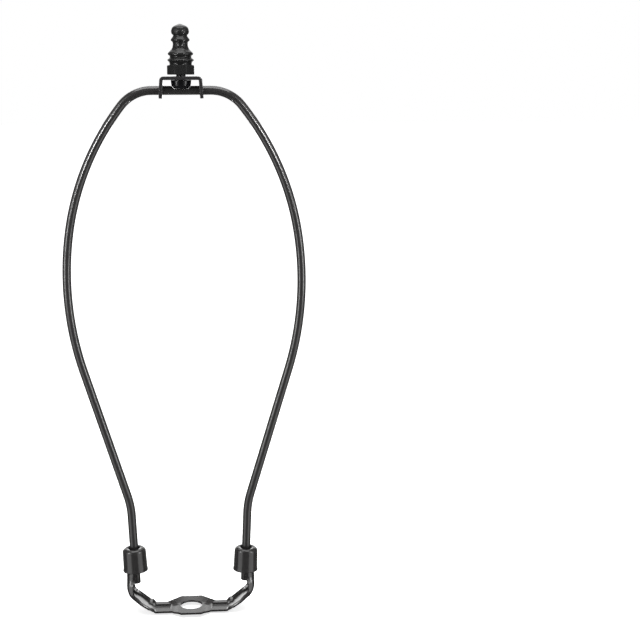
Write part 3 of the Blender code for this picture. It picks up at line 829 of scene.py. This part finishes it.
def smoothed(points, steps):
    # an even curve through the points, as a turner's tool would leave it
    first, last = points[0], points[-1]
    padded = [Vector((-points[1][0], points[1][1]))] + [Vector(p) for p in points]
    padded.append(Vector((last[0], 2 * last[1] - points[-2][1])))
    curve = [Vector(first)]
    for before, a, b, after in zip(padded, padded[1:], padded[2:], padded[3:]):
        for i in range(1, steps + 1):
            t = i / steps
            curve.append(0.5 * (2 * a + (b - before) * t
                                + (2 * before - 5 * a + 4 * b - after) * t ** 2
                                + (3 * a - before - 3 * b + after) * t ** 3))
    return curve


def makeFinial():
    f = finial
    flats = f["flats"] / 2
    corner = flats / math.cos(math.pi / 8)
    h, base, ease, bore = f["height"], f["base"], f["baseEase"], f["bore"]
    foot = clipTop + f["lift"]
    curve = smoothed(f["outline"], f["smoothing"])
    outline = [(r * mm, h - depth * mm) for r, depth in curve]
    outline += [
        (flats - f["faceEase"], base),
        (corner, base - ease),
        (corner, f["footEase"]),
        (flats - f["faceEase"], 0.0),
        (bore + f["boreMouth"], 0.0),
        (bore, f["boreMouth"]),
        (bore, f["boreDepth"]),
        (0.0, f["boreDepth"] + bore * math.tan(f["drillPoint"])),
    ]
    bm = bmesh.new()
    chain(bm, [(max(r, 0.0), 0, foot + z) for r, z in outline])
    spinAround(bm, f["steps"])
    piece = toObject(bm, "paintedFinial")
    die = cylinder("flatsDie", corner, 4 * h, Matrix.Translation((0, 0, foot))
                   @ Matrix.Rotation(math.pi / 8, 4, "Z"), 8)
    cutWith(piece, die, "INTERSECT")
    return dress(piece, paint("finialPaint", paints["finial"]), "finial", "finial",
                 sharp=25)


makeBow()
makeSaddle()
ferrulePaint = paint("ferrulePaint", paints["ferrule"])
makeFerrule("paintedLeftFerrule", -1, mouthZ, "left_ferrule", "left_ferrule", ferrulePaint)
makeFerrule("paintedRightFerrule", 1, mouthZ - ferrule["rightDrop"], "right_ferrule",
            "right_ferrule", ferrulePaint)
makeClip()
makeStud(paint("studPaint", paints["stud"]))
makeFinial()


# studio: pale floor, soft lamps, white surroundings

studio = {
    "floorHalf": 6.0,
    "floorDrop": 0.1 * mm,
    "floorColor": (0.86, 0.86, 0.86, 1),
    "floorRoughness": 0.9,
    "floorLift": (0.70, 1.0),  # white added near the harp and far away, not as light on it
    "liftReach": (0.25, 1.6),  # metres from the harp over which it grows
    "ambient": (0.6, 0.6, 0.6, 1),
    "backdrop": (1, 1, 1, 1),
    # what the paint mirrors: a dark room with a bright sweep behind the harp, alike above
    # and below the horizon because the floor isn't mirrored
    "darkRoom": 0.17,
    "sweep": 1.45,
    "sweepTurn": (0.80, 0.95),  # how squarely behind, as a cosine
    "sweepRise": (0.50, 0.375),  # how high, as a sine
    "horizon": 1.3,  # how much brighter, as a share, the sweep is low down
    "horizonRise": (0.28, 0.10),
}
lamps = {
    # place, aim, size, power, cone, and whether it lights more than reflections
    "topBox": ((0.0, -0.15, 0.9), (0.0, 0.0, 0.13), (0.7, 0.5), 9.0, 180, True),
    "backBox": ((0.0, 0.42, 0.8), (0.0, 0.0, 0.2), (0.7, 0.5), 3.5, 180, False),
    "leftBox": ((-0.41, -0.29, 0.17), (0.0, 0.0, 0.17), (0.42, 0.84), 2.9, 180, False),
    "rightBox": ((0.41, -0.29, 0.17), (0.0, 0.0, 0.17), (0.42, 0.84), 2.9, 180, False),
    "leftStrip": ((-0.285, -0.36, 0.315), (-0.039, 0.0, 0.228), (0.15, 0.26), 0.12, 14, False),
    "rightStrip": ((0.264, -0.375, 0.32), (0.039, 0.0, 0.228), (0.15, 0.26), 0.10, 14, False),
    "leftTube": ((-0.40, -0.28, 0.157), (0.0, 0.0, 0.157), (0.06, 0.185), 0.9, 180, False),
    "rightTube": ((0.40, -0.28, 0.157), (0.0, 0.0, 0.157), (0.06, 0.185), 0.9, 180, False),
    "lowLeft": ((-0.35, -0.14, -0.25), (0.0, 0.0, 0.27), (0.05, 0.05), 0.004, 7, False),
    "lowRight": ((0.35, -0.14, -0.25), (0.0, 0.0, 0.27), (0.05, 0.05), 0.004, 7, False),
}


def makeFloor():
    bm = bmesh.new()
    bmesh.ops.create_grid(bm, x_segments=8, y_segments=8, size=studio["floorHalf"],
                          matrix=Matrix.Translation((0, 0, -studio["floorDrop"])))
    floor = toObject(bm, "floor", outwards=False)
    material = bpy.data.materials.new("paleFloor")
    material.use_nodes = True
    tree = material.node_tree
    nodes, links = tree.nodes, tree.links
    shader = nodes["Principled BSDF"]
    shader.inputs["Base Color"].default_value = studio["floorColor"]
    shader.inputs["Roughness"].default_value = studio["floorRoughness"]
    shader.inputs["Specular IOR Level"].default_value = 0.0
    shader.inputs["Emission Color"].default_value = (1, 1, 1, 1)
    reach = nodes.new("ShaderNodeVectorMath")
    reach.operation = "LENGTH"
    links.new(nodes.new("ShaderNodeTexCoord").outputs["Object"], reach.inputs[0])
    fade = rangeNode(tree, reach.outputs["Value"], *studio["liftReach"],
                     *studio["floorLift"])
    rays = nodes.new("ShaderNodeLightPath").outputs
    seen = mathNode(tree, "MAXIMUM", rays["Is Camera Ray"], rays["Is Transmission Ray"])
    links.new(mathNode(tree, "MULTIPLY", seen, fade), shader.inputs["Emission Strength"])
    # reflections look through the floor, so that the paint mirrors only the room
    through = mathNode(tree, "MAXIMUM", rays["Is Glossy Ray"], rays["Is Shadow Ray"])
    either = nodes.new("ShaderNodeMixShader")
    links.new(through, either.inputs["Fac"])
    links.new(shader.outputs["BSDF"], either.inputs[1])
    links.new(nodes.new("ShaderNodeBsdfTransparent").outputs["BSDF"], either.inputs[2])
    links.new(either.outputs["Shader"], nodes["Material Output"].inputs["Surface"])
    floor.data.materials.append(material)


def makeWorld():
    world = bpy.data.worlds.new("whiteRoom")
    bpy.context.scene.world = world
    world.use_nodes = True
    tree = world.node_tree
    nodes, links = tree.nodes, tree.links
    rays = nodes.new("ShaderNodeLightPath").outputs

    def blend(factor, off, on):
        node = nodes.new("ShaderNodeMix")
        node.data_type = "RGBA"
        links.new(factor, node.inputs["Factor"])
        for socket, value in ((node.inputs["A"], off), (node.inputs["B"], on)):
            if isinstance(value, tuple):
                socket.default_value = value
            else:
                links.new(value, socket)
        return node.outputs["Result"]

    way = nodes.new("ShaderNodeSeparateXYZ")
    links.new(nodes.new("ShaderNodeTexCoord").outputs["Generated"], way.inputs["Vector"])
    rise = mathNode(tree, "ABSOLUTE", way.outputs["Z"])
    level = mathNode(tree, "SQRT", mathNode(
        tree, "SUBTRACT", 1.0, mathNode(tree, "MULTIPLY", rise, rise)))
    turn = mathNode(tree, "DIVIDE", way.outputs["Y"], level)
    sweep = mathNode(tree, "MULTIPLY", rangeNode(tree, turn, *studio["sweepTurn"]),
                     rangeNode(tree, rise, *studio["sweepRise"]))
    low = rangeNode(tree, rise, *studio["horizonRise"], 1.0, 1.0 + studio["horizon"])
    glow = mathNode(tree, "MULTIPLY", mathNode(tree, "MULTIPLY", sweep, low),
                    studio["sweep"])
    glow = mathNode(tree, "ADD", glow, studio["darkRoom"])
    tint = nodes.new("ShaderNodeCombineColor")
    for channel in ("Red", "Green", "Blue"):
        links.new(glow, tint.inputs[channel])
    room = tint.outputs["Color"]
    mirrored = blend(rays["Is Glossy Ray"], studio["ambient"], room)
    clear = mathNode(tree, "MAXIMUM", rays["Is Camera Ray"], rays["Is Transmission Ray"])
    links.new(blend(clear, mirrored, studio["backdrop"]),
              nodes["Background"].inputs["Color"])


def makeLamps():
    for name, (place, aim, size, power, cone, everywhere) in lamps.items():
        data = bpy.data.lights.new(name, "AREA")
        data.shape = "RECTANGLE"
        data.size, data.size_y = size
        data.energy = power
        data.spread = cone * deg
        lamp = bpy.data.objects.new(name, data)
        lamp.location = place
        way = Vector(aim) - lamp.location
        lamp.rotation_euler = way.to_track_quat("-Z", "Y").to_euler()
        lamp.visible_camera = False
        lamp.visible_diffuse = everywhere
        bpy.context.scene.collection.objects.link(lamp)


# camera: about 0.65 m in front of the harp, as high as its clip, looking a little down

view = {
    "place": (13.23 * mm, -648.74 * mm, 257.27 * mm + seatZ),
    "yaw": -4.395,  # turned to the right, tilted down and rolled, in degrees
    "pitch": 10.18,
    "roll": -0.16,
    "lens": 78.75,  # on a 36 mm wide sensor
    "sensor": 36.0,
    "reach": (0.01, 30.0),
}


def makeCamera():
    data = bpy.data.cameras.new("photoCamera")
    data.lens = view["lens"]
    data.sensor_width = view["sensor"]
    data.clip_start, data.clip_end = view["reach"]
    camera = bpy.data.objects.new("photoCamera", data)
    turn = (Matrix.Rotation(view["yaw"] * deg, 4, "Z")
            @ Matrix.Rotation((90 - view["pitch"]) * deg, 4, "X")
            @ Matrix.Rotation(view["roll"] * deg, 4, "Z"))
    camera.matrix_world = Matrix.Translation(view["place"]) @ turn
    bpy.context.scene.collection.objects.link(camera)
    bpy.context.scene.camera = camera


makeFloor()
makeWorld()
makeLamps()
makeCamera()
bpy.context.scene.view_settings.view_transform = "Standard"
print("studio ready")
